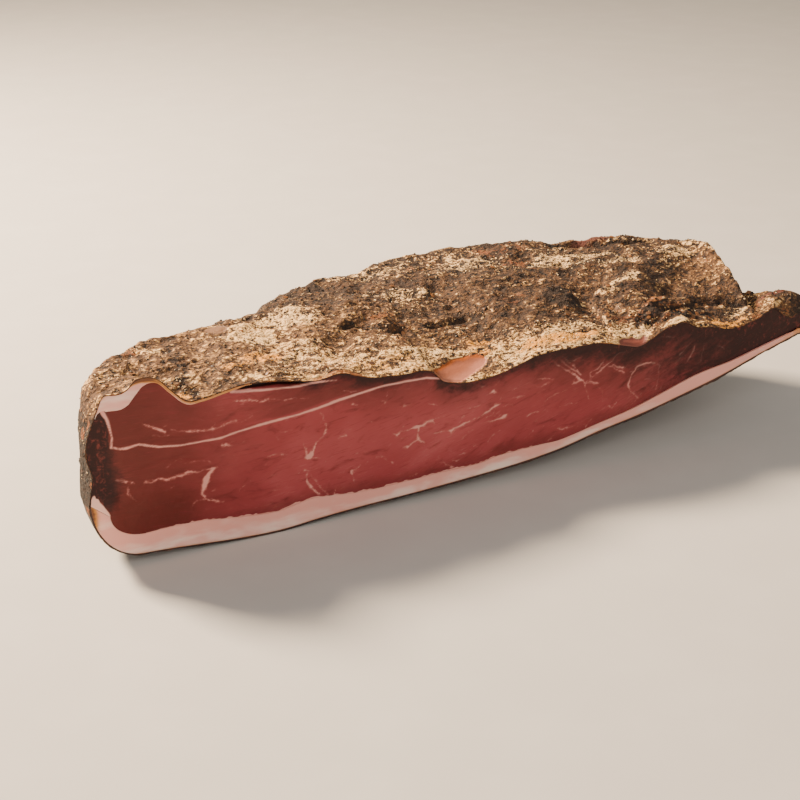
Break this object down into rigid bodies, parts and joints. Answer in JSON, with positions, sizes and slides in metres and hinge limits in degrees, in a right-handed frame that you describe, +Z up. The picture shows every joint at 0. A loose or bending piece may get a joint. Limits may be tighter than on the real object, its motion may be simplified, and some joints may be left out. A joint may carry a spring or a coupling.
{
  "type": "speck ham",
  "caption": "Half of a cured, smoked speck ham, cut lengthwise: flat cut face of lean meat over a band of back fat and rind, with a rough dried crust over the top and back.",
  "frame": {"origin": "bottom centre of the ham's box, on the plane of the flat spot of the rind that it lies on", "axes": "+X along the cut face from the blunt end to the thin tip, +Y from the cut face to the curved back, +Z up"},
  "size_m": [0.4044, 0.1352, 0.0916],
  "materials": {
    "lean": "cut cured lean meat, satin, dark red with pale marbling, under a matt grey-brown dried crust",
    "fat": "firm pinkish-white cured fat, satin, with a thin dark brown smoked rind on the outside"
  },
  "bodies": {
    "root": {"back_fat": "fat", "lean_meat": "lean", "cap_fat": "fat"}
  },
  "joints": []
}
